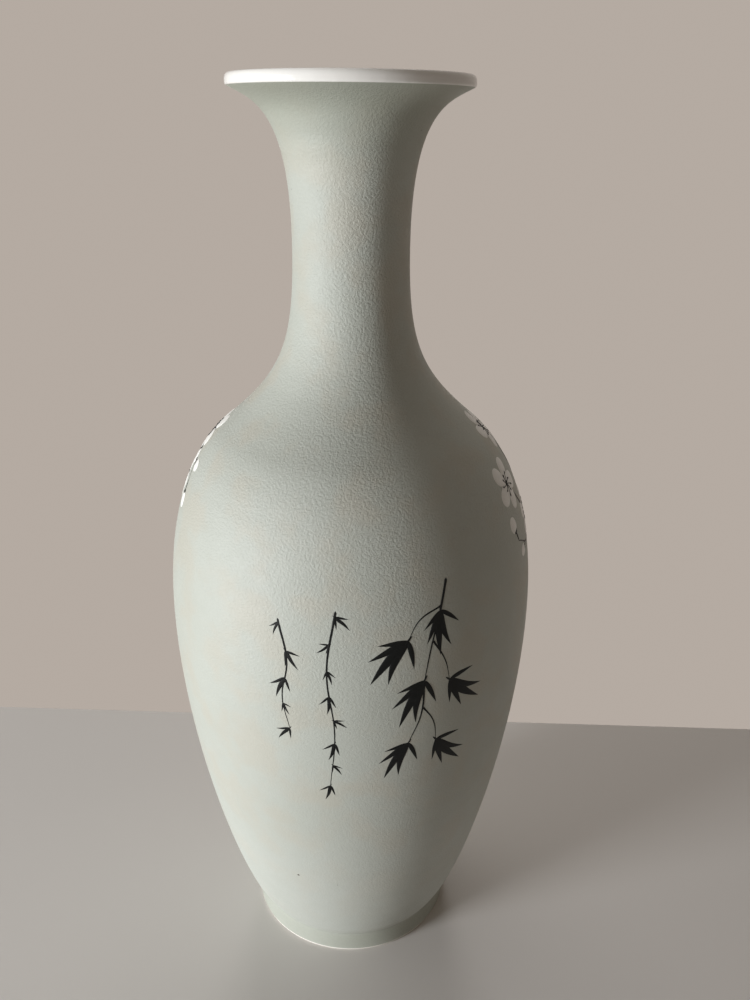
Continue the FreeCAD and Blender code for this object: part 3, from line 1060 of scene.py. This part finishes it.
class Wall:
    """The glazed face, on which flat work is laid, and the tools that lay it."""

    def __init__(self, outline, walls):
        runs = Profile(outline, walls).outside(0)
        self.line = drawn("wall_line", runs, False, walls.smoothness)
        self.girth = outline.belly_radius
        self.ways = [(runs[0][0].z, 0.0)]
        here = runs[0][0]
        for run in runs[1:]:
            for place in interpolate_bezier(*run, walls.smoothness + 1)[1:]:
                self.ways.append((place.z, self.ways[-1][1] + (place - here).length))
                here = place

    def way_up(self, height):
        """How far up the wall, along it, a height is."""
        for (below, start), (above, end) in zip(self.ways, self.ways[1:]):
            if below <= height <= above:
                return start + (end - start) * (height - below) / (above - below)
        raise ValueError(f"The wall does not reach {height} m")

    def drawing(self, name, lines):
        """Flat lines: each is a width at its root and then its azimuths and heights."""
        data = bpy.data.curves.new(name, "CURVE")
        data.dimensions = "3D"
        data.resolution_u = LINE_SMOOTHNESS
        for width, *places in lines:
            spline = data.splines.new("BEZIER")
            spline.bezier_points.add(len(places) - 1)
            for index, (azimuth, height) in enumerate(places):
                point = spline.bezier_points[index]
                point.co = (math.radians(azimuth) * self.girth, self.way_up(height), 0)
                point.handle_left_type = point.handle_right_type = "AUTO"
                share_up = index / (len(places) - 1)
                point.radius = width / 2 * (1 - STROKE_TAPER * share_up)
        return linked(bpy.data.objects.new(name, data))

    def brush_twigs(self, name, twigs, stroke, finish):
        """Raised strokes along the lines of a drawing."""
        return twig_shaping().make(
            name,
            outline=self.line,
            twigs=twigs,
            girth=self.girth,
            step=STROKE_STEP,
            fullest=FULLEST_STROKE,
            finish=finish,
            **stroke._asdict(),
        )

    def set_ornaments(self, name, twigs, ornament, habit, finish):
        """Copies of an ornament along the lines of a drawing, in one habit of growth."""
        return ornament_shaping().make(
            name,
            outline=self.line,
            twigs=twigs,
            ornament=ornament,
            girth=self.girth,
            finish=finish,
            **habit._asdict(),
        )


# The painted design, in degrees of azimuth and metres of height.


# How ornaments grow on a line: the share left bare, their spacing, how far they lean to each
# side, and the range of their turn and size. A sprig has a fan of leaves that grow so.
Habit = namedtuple("Habit", "bare_share spacing lean scatter smallest largest seed")
Sprig = namedtuple("Sprig", "name leaves spread habit lines")

# How a line is brushed: its height as a share of half its width, and how knotty it is.
Stroke = namedtuple("Stroke", "relief knots")
SPRIG_STROKE = Stroke(0.25, 0.5)
BOUGH_STROKE = Stroke(0.24, 1.0)
SPECK_STROKE = Stroke(0.12, 0.0)

# Strokes are worked out at this step and level off near this height, and a line loses this
# share of its width by its tip.
STROKE_STEP = 0.0008
FULLEST_STROKE = 0.00032
STROKE_TAPER = 0.72
LINE_SMOOTHNESS = 12

SPRIGS = (
    Sprig(
        "bold_spray",
        leaves=5,
        spread=0.80,
        habit=Habit(0.30, 0.027, 0.34, 0.30, 1.25, 1.60, 11),
        lines=(
            (0.0015, (28.0, 0.2540), (25.5, 0.2400), (22.5, 0.2230), (20.5, 0.2060)),
            (0.0010, (25.8, 0.2420), (19.0, 0.2370), (15.5, 0.2280)),
            (0.0010, (23.0, 0.2260), (27.0, 0.2140), (28.6, 0.2030)),
            (0.0013, (20.5, 0.2060), (20.0, 0.1880), (16.5, 0.1720)),
            (0.0010, (20.2, 0.1920), (24.0, 0.1820), (25.4, 0.1700)),
        ),
    ),
    Sprig(
        "long_sprig",
        leaves=3,
        spread=0.62,
        habit=Habit(0.03, 0.0118, 0.55, 0.45, 0.50, 0.86, 3),
        lines=((0.0012, (-4.4, 0.2440), (-6.8, 0.2150), (-4.8, 0.1800), (-6.4, 0.1480)),),
    ),
    Sprig(
        "short_sprig",
        leaves=3,
        spread=0.62,
        habit=Habit(0.03, 0.0126, 0.55, 0.45, 0.50, 0.90, 8),
        lines=((0.0012, (-20.8, 0.2380), (-18.0, 0.2180), (-19.6, 0.1980), (-17.8, 0.1810)),),
    ),
)

BOUGHS = (
    (
        0.0062,
        (97, 0.1160),
        (112, 0.1500),
        (124, 0.1840),
        (146, 0.2160),
        (157, 0.2480),
        (186, 0.2680),
        (214, 0.2880),
        (240, 0.2960),
    ),
    (0.0038, (124, 0.1840), (118, 0.2180), (104, 0.2440), (94, 0.2700)),
    (0.0034, (157, 0.2480), (176, 0.2420), (194, 0.2230), (205, 0.1960), (204, 0.1700)),
    (0.0032, (214, 0.2880), (231, 0.2680), (238, 0.2380), (252, 0.2180)),
)
FLOWERING = (
    (0.0030, (104, 0.2440), (90, 0.2520), (79, 0.2640), (69, 0.2790)),
    (0.0022, (94, 0.2700), (88, 0.2860), (86, 0.3000)),
    (0.0022, (112, 0.1500), (99, 0.1540), (84, 0.1420)),
    (0.0022, (118, 0.2180), (129, 0.2420), (128, 0.2700)),
    (0.0022, (146, 0.2160), (150, 0.1880), (143, 0.1600)),
    (0.0022, (205, 0.1960), (219, 0.2060), (232, 0.1960)),
    (0.0022, (186, 0.2680), (181, 0.2880), (168, 0.3020)),
    (0.0022, (176, 0.2420), (168, 0.2240), (166, 0.2000)),
    (0.0022, (240, 0.2960), (252, 0.3020), (265, 0.2960)),
    (0.0022, (231, 0.2680), (248, 0.2660), (268, 0.2720)),
)
BUDDING = (
    (0.0016, (104, 0.2440), (110, 0.2680), (119, 0.2900)),
    (0.0020, (90, 0.2520), (79, 0.2450), (66, 0.2520)),
    (0.0016, (124, 0.1840), (115, 0.1970), (107, 0.2090)),
    (0.0016, (157, 0.2480), (146, 0.2680), (144, 0.2920)),
    (0.0016, (205, 0.1960), (194, 0.1800), (190, 0.1560)),
    (0.0016, (204, 0.1700), (214, 0.1580), (226, 0.1620)),
    (0.0016, (214, 0.2880), (206, 0.3040), (196, 0.3140)),
    (0.0016, (252, 0.2180), (258, 0.2020), (254, 0.1840)),
    (0.0016, (265, 0.2960), (274, 0.2880), (281, 0.2760)),
)
FLOWER_HABIT = Habit(0.50, 0.026, 0.30, 0.90, 0.85, 1.10, 5)
BUD_HABIT = Habit(0.25, 0.013, 0.65, 0.25, 0.80, 1.15, 9)
SPECKS = (
    (0.0040, (-21.7, 0.0733), (-20.9, 0.0738)),
    (0.0018, (-5.8, 0.0705), (-5.5, 0.0703)),
)


# Operators.


def settings_of(context):
    scene = context.scene
    return scene.vase_outline, scene.vase_walls, scene.vase_glazes


def cleared(*helpers):
    """Removes the drawings and patterns that a piece was made from."""
    for helper in helpers:
        bpy.data.objects.remove(helper)


def turned(name, runs, closed, material, walls):
    """A closed shell, turned from an outline, with its sharp edges kept."""
    outline = drawn(f"{name}_outline", runs, closed, walls.smoothness)
    tool = lathe()
    piece = tool.make(name, outline=outline, segments=walls.segments, finish=material)
    cleared(outline)
    piece.data.set_sharp_from_angle(angle=SHARP_ANGLE)
    return piece


def seated(piece, slot, *nodes):
    """Hangs the piece on the root body and hides the CAD nodes that it stands in for. The slot is
    not used.
    """
    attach(piece, "root")
    if nodes:
        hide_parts(*nodes)


class VASE_OT_celadon(bpy.types.Operator):
    """Turn the celadon coat, from its edge above the foot up to the lip band"""

    bl_idname = "vase.celadon"
    bl_label = "Celadon coat"

    def execute(self, context):
        outline, walls, glazes = settings_of(context)
        profile = Profile(outline, walls)
        runs = profile.outside(0) + backwards(profile.outside(walls.glaze))
        material = celadon_finish(glazes)
        piece = turned("celadon_coat", runs, True, material, walls)
        seated(piece, "celadon", "celadon_glaze")
        return {"FINISHED"}


class VASE_OT_lining(bpy.types.Operator):
    """Turn the clear coat of the inside, which comes over the lip as its white band"""

    bl_idname = "vase.lining"
    bl_label = "Lining and lip band"

    def execute(self, context):
        outline, walls, glazes = settings_of(context)
        profile = Profile(outline, walls)
        glaze = walls.glaze
        hidden = profile.inside(0) + backwards(profile.lip_runs(glaze, 0))
        shown = profile.inside(glaze) + backwards(profile.lip_runs(0, glaze))
        material = white_finish(glazes)
        runs = hidden + backwards(shown)
        piece = turned("clear_lining", runs, False, material, walls)
        seated(piece, "clear_glaze", "lining_glaze")
        return {"FINISHED"}


class VASE_OT_foot(bpy.types.Operator):
    """Turn the bare foot ring and the clear coat in the recess behind it"""

    bl_idname = "vase.foot"
    bl_label = "Foot ring and base"

    def execute(self, context):
        outline, walls, glazes = settings_of(context)
        profile = Profile(outline, walls)
        seam = outline.waist_height - walls.half_lute
        skirt = profile.skirt
        pull = walls.edge_round * outline.round_pull
        worn = curve(
            profile.land_outside,
            pull,
            skirt.height * outline.round_pull,
            straight_wall(skirt, skirt.height, walls.glaze),
        )
        corners = [
            straight_wall(skirt, seam, walls.glaze),
            straight_wall(profile.ring_inside, seam, 0),
            profile.ring_inside,
            profile.land_inside,
        ]
        runs = [worn] + [corner(stop) for stop in corners]
        clay = clay_finish(glazes)
        ring = turned("bare_foot_ring", runs, True, clay, walls)
        seated(ring, "bare_porcelain", "foot_ring")

        recess = walls.recess
        glaze = walls.glaze
        stops = [
            Stop(0, recess - glaze, 0),
            straight_wall(profile.ring_inside, recess - glaze, glaze),
            straight_wall(profile.ring_inside, profile.ring_inside.height, glaze),
            profile.ring_inside,
            straight_wall(profile.ring_inside, recess, 0),
            Stop(0, recess, 0),
        ]
        runs = [corner(stop) for stop in stops]
        material = bpy.data.materials["white_gloss"]
        base = turned("clear_base", runs, False, material, walls)
        seated(base, "clear_glaze", "base_glaze")
        return {"FINISHED"}


class VASE_OT_clay(bpy.types.Operator):
    """Give the clay and the slip inside the coats their finish"""

    bl_idname = "vase.clay"
    bl_label = "Clay and slip"

    def execute(self, context):
        clay = bpy.data.materials["fired_porcelain"]
        for name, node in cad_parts.items():
            if not name.endswith("_glaze") and name != "foot_ring":
                for slot in node.material_slots:
                    slot.material = clay
        return {"FINISHED"}


class VASE_OT_sprigs(bpy.types.Operator):
    """Brush the three black sprigs on the front of the belly"""

    bl_idname = "vase.sprigs"
    bl_label = "Brushed sprigs"

    def execute(self, context):
        outline, walls, glazes = settings_of(context)
        brush = context.scene.vase_brush
        ink = enamel_finish("black_enamel", glazes.ink, pale=0.008, gloss=0.45, ripple=0.00004)
        wall = Wall(outline, walls)
        for sprig in SPRIGS:
            flat = wall.drawing(f"{sprig.name}_lines", sprig.lines)
            fan = leaf_fan("fan", brush, sprig.leaves, sprig.spread, sprig.habit[-1])
            twigs = wall.brush_twigs(f"{sprig.name}_twigs", flat, SPRIG_STROKE, ink)
            leaves = wall.set_ornaments(f"{sprig.name}_leaves", flat, fan, sprig.habit, ink)
            seated(twigs, "black_enamel")
            seated(leaves, "black_enamel")
            cleared(flat, fan)
        cleared(wall.line)
        return {"FINISHED"}


class VASE_OT_blossom(bpy.types.Operator):
    """Brush the dark boughs round the back and raise their white blossoms and buds"""

    bl_idname = "vase.blossom"
    bl_label = "Blossoming boughs"

    def execute(self, context):
        outline, walls, glazes = settings_of(context)
        brush = context.scene.vase_brush
        bark = enamel_finish("bark_enamel", glazes.bark, pale=0.13, gloss=0.48, ripple=0.00020)
        white = enamel_finish("white_enamel", glazes.petal, pale=-0.10, gloss=0.28, ripple=0.00006)
        ink = bpy.data.materials["black_enamel"]
        wall = Wall(outline, walls)
        boughs = wall.drawing("bough_lines", BOUGHS)
        sprays = wall.drawing("spray_lines", FLOWERING)
        budding = wall.drawing("budding_lines", BUDDING)
        parts = (
            ("petals", blossom_petals(brush), sprays, FLOWER_HABIT, white, "white_enamel"),
            ("hairs", blossom_hairs(brush), sprays, FLOWER_HABIT, ink, "black_enamel"),
            ("buds", bud_drop(brush), budding, BUD_HABIT, white, "white_enamel"),
            ("bud_cups", bud_cup(brush), budding, BUD_HABIT, ink, "black_enamel"),
        )
        for name, pattern, flat, habit, finish, slot in parts:
            seated(wall.set_ornaments(f"blossom_{name}", flat, pattern, habit, finish), slot)
            cleared(pattern)
        for name, flat in (("boughs", boughs), ("sprays", sprays), ("shoots", budding)):
            seated(wall.brush_twigs(name, flat, BOUGH_STROKE, bark), "black_enamel")
            cleared(flat)
        cleared(wall.line)
        return {"FINISHED"}


class VASE_OT_specks(bpy.types.Operator):
    """Set the few iron specks in the glaze"""

    bl_idname = "vase.specks"
    bl_label = "Iron specks"

    def execute(self, context):
        outline, walls, glazes = settings_of(context)
        iron = enamel_finish("iron_speck", glazes.iron, pale=0.1, gloss=0.4, ripple=0.00002)
        wall = Wall(outline, walls)
        flat = wall.drawing("speck_lines", SPECKS)
        seated(wall.brush_twigs("iron_specks", flat, SPECK_STROKE, iron), "celadon")
        cleared(flat, wall.line)
        return {"FINISHED"}


AIM_HEIGHT = 0.24
SENSOR_WIDTH = 36.0


class VASE_OT_stage(bpy.types.Operator):
    """Set the camera, the lamps, the pale table and the backdrop"""

    bl_idname = "vase.stage"
    bl_label = "Stage"

    def execute(self, context):
        stage = context.scene.vase_stage
        self.set_camera(context.scene, stage)
        self.set_lamps(context.scene, stage)
        self.lay_table(stage)
        return {"FINISHED"}

    def set_camera(self, scene, stage):
        data = bpy.data.cameras.new("eye")
        data.lens = stage.lens
        data.sensor_width = SENSOR_WIDTH
        data.clip_start = 0.01
        camera = linked(bpy.data.objects.new("eye", data))
        turn = Matrix.Rotation(-stage.eye_turn, 4, "Z")
        fall = Matrix.Rotation(math.pi / 2 - stage.eye_fall, 4, "X")
        roll = Matrix.Rotation(stage.eye_roll, 4, "Z")
        place = Matrix.Translation((0, -stage.eye_distance, stage.eye_height))
        camera.matrix_world = place @ turn @ fall @ roll
        scene.camera = camera

    def set_lamps(self, scene, stage):
        """A cool key lamp at one side, and three weaker and warmer ones."""
        behind = math.radians(180)
        key = (stage.key_azimuth, stage.key_distance, stage.key_height)
        cool = (0.965, 0.985, 1.0)
        warm = (1.0, 0.97, 0.94)
        self.set_lamp("key", key, stage.key_size, stage.key_power, cool)
        side = (math.radians(60), 1.6, 0.9)
        self.set_lamp("fill", side, 1.2, stage.fill_power, (1.0, 0.95, 0.90))
        self.set_lamp("back", (behind, 1.3, 0.24), 0.40, stage.back_power, warm)
        self.set_lamp("top", (behind, 0.5, 1.5), 0.9, stage.top_power, warm)
        scene.world = self.room(stage)
        scene.view_settings.view_transform = "Standard"

    def set_lamp(self, name, place, size, power, tint):
        """A square lamp at an azimuth, a distance from the axis and a height."""
        azimuth, distance, height = place
        data = bpy.data.lights.new(name, "AREA")
        data.shape = "SQUARE"
        data.size = size
        data.energy = power
        data.color = tint
        lamp = linked(bpy.data.objects.new(name, data))
        lamp.visible_camera = False
        across = distance * math.sin(azimuth)
        lamp.location = (across, -distance * math.cos(azimuth), height)
        aim = Vector((0, 0, AIM_HEIGHT)) - lamp.location
        lamp.rotation_euler = aim.to_track_quat("-Z", "Y").to_euler()

    def room(self, stage):
        """Dim light from all round, which shows as a pale backdrop."""
        world = bpy.data.worlds.new("soft_room")
        world.use_nodes = True
        graph = Graph(world.node_tree)
        seen = graph.add("ShaderNodeLightPath", {}, {}, "Is Camera Ray")
        seen = graph.maths("MAXIMUM", seen, seen.other("Is Glossy Ray"))
        passing = graph.add("ShaderNodeLightPath", {}, {}, "Is Transmission Ray")
        seen = graph.maths("MAXIMUM", seen, passing)
        tint = graph.mix(seen, opaque(stage.room), opaque(stage.backdrop))
        ground = world.node_tree.nodes["Background"]
        graph.feed(ground.inputs["Color"], tint)
        return world

    def lay_table(self, stage):
        """A wide table top with softened edges, whose far edge is a little behind the vase."""
        reach = stage.table_reach
        work = bmesh.new()
        bmesh.ops.create_cube(work, size=1.0)
        for vertex in work.verts:
            x, y, z = vertex.co + Vector((0.5, 0.5, -0.5))
            vertex.co = (
                -stage.table_left + x * (stage.table_left + reach),
                -reach + y * (reach + stage.table_far),
                z * stage.table_thickness,
            )
        softening = {"offset": 0.0025, "segments": 3, "affect": "EDGES"}
        bmesh.ops.bevel(work, geom=work.edges[:], **softening)
        turn = Matrix.Rotation(stage.table_turn, 3, "Z")
        bmesh.ops.transform(work, matrix=turn.to_4x4(), verts=work.verts)
        mesh = bpy.data.meshes.new("table_top")
        work.to_mesh(mesh)
        work.free()
        paint = plain_finish("table_white", tuple(stage.floor), roughness=0.88)
        mesh.materials.append(paint)
        table = linked(bpy.data.objects.new("table_top", mesh))


class VASE_PT_panel(bpy.types.Panel):
    """The vase's steps and sizes"""

    bl_idname = "VASE_PT_panel"
    bl_label = "Celadon vase"
    bl_space_type = "VIEW_3D"
    bl_region_type = "UI"
    bl_category = "Vase"

    def draw(self, context):
        for operator in STEPS:
            self.layout.operator(operator.bl_idname)
        for name, group in GROUPS.items():
            box = self.layout.box()
            box.label(text=group.__doc__)
            for key in group.__annotations__:
                box.prop(getattr(context.scene, name), key)


STEPS = (
    VASE_OT_celadon,
    VASE_OT_lining,
    VASE_OT_foot,
    VASE_OT_clay,
    VASE_OT_sprigs,
    VASE_OT_blossom,
    VASE_OT_specks,
    VASE_OT_stage,
)
CLASSES = (*GROUPS.values(), *STEPS, VASE_PT_panel)


def register():
    for item in CLASSES:
        bpy.utils.register_class(item)
    for name, group in GROUPS.items():
        setattr(bpy.types.Scene, name, bpy.props.PointerProperty(type=group))


def unregister():
    for name in GROUPS:
        delattr(bpy.types.Scene, name)
    for item in reversed(CLASSES):
        bpy.utils.unregister_class(item)


def main():
    register()
    bpy.ops.vase.celadon()
    bpy.ops.vase.lining()
    bpy.ops.vase.foot()
    bpy.ops.vase.clay()
    bpy.ops.vase.sprigs()
    bpy.ops.vase.blossom()
    bpy.ops.vase.specks()
    bpy.ops.vase.stage()


if __name__ == "__main__":
    main()
